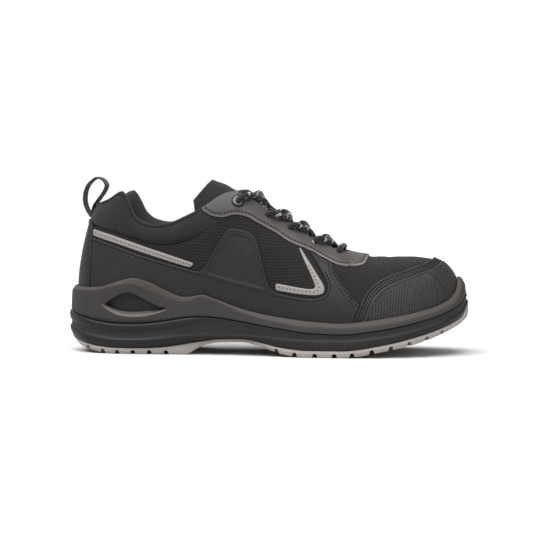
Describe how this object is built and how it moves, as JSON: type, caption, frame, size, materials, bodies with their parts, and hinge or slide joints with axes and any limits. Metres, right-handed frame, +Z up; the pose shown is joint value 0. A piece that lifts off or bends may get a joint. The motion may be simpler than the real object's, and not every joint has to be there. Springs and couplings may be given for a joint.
{
  "type": "safety shoe",
  "caption": "Low black lace-up work shoe: hollow knit upper, smooth overlays, rubber toe cap, foam cup midsole with a heel window, lugged sole and pull loop.",
  "frame": {"origin": "on the floor under the middle of the shoe's box", "axes": "+X towards the toe, +Y towards the inner (medial) side, +Z up"},
  "size_m": [0.301, 0.1015, 0.1313],
  "materials": {
    "sole_rubber": "matte moulded rubber",
    "midsole_foam": "satin moulded foam with a fine hatch",
    "knit_fabric": "matte knit",
    "smooth_synthetic": "smooth matte synthetic",
    "eyestay_synthetic": "smooth satin synthetic",
    "cap_rubber": "knurled satin rubber",
    "reflective_trim": "silver reflective tape",
    "webbing": "woven webbing",
    "footbed_foam": "matte fabric over foam",
    "lace_cord": "round braided cord with light flecks",
    "eyelet_metal": "dark metal with a bright lip"
  },
  "bodies": {
    "root": {"outsole": "sole_rubber", "midsole": "midsole_foam", "upper": "knit_fabric", "insole": "footbed_foam", "tongue": "knit_fabric", "toe_cap": "cap_rubber", "eyestay": "eyestay_synthetic", "backstay": "smooth_synthetic", "foxing_lateral": "smooth_synthetic", "foxing_medial": "smooth_synthetic", "heel_strip_lateral": "reflective_trim", "heel_strip_medial": "reflective_trim", "corner_strip_lateral": "reflective_trim", "corner_strip_medial": "reflective_trim", "pull_loop": "webbing", "eyelet_lateral": "eyelet_metal", "eyelet_medial": "eyelet_metal", "lace_cross_1": "lace_cord", "lace_cross_2": "lace_cord", "lace_cross_3": "lace_cord", "lace_cross_4": "lace_cord", "lace_bar": "lace_cord"}
  },
  "joints": []
}
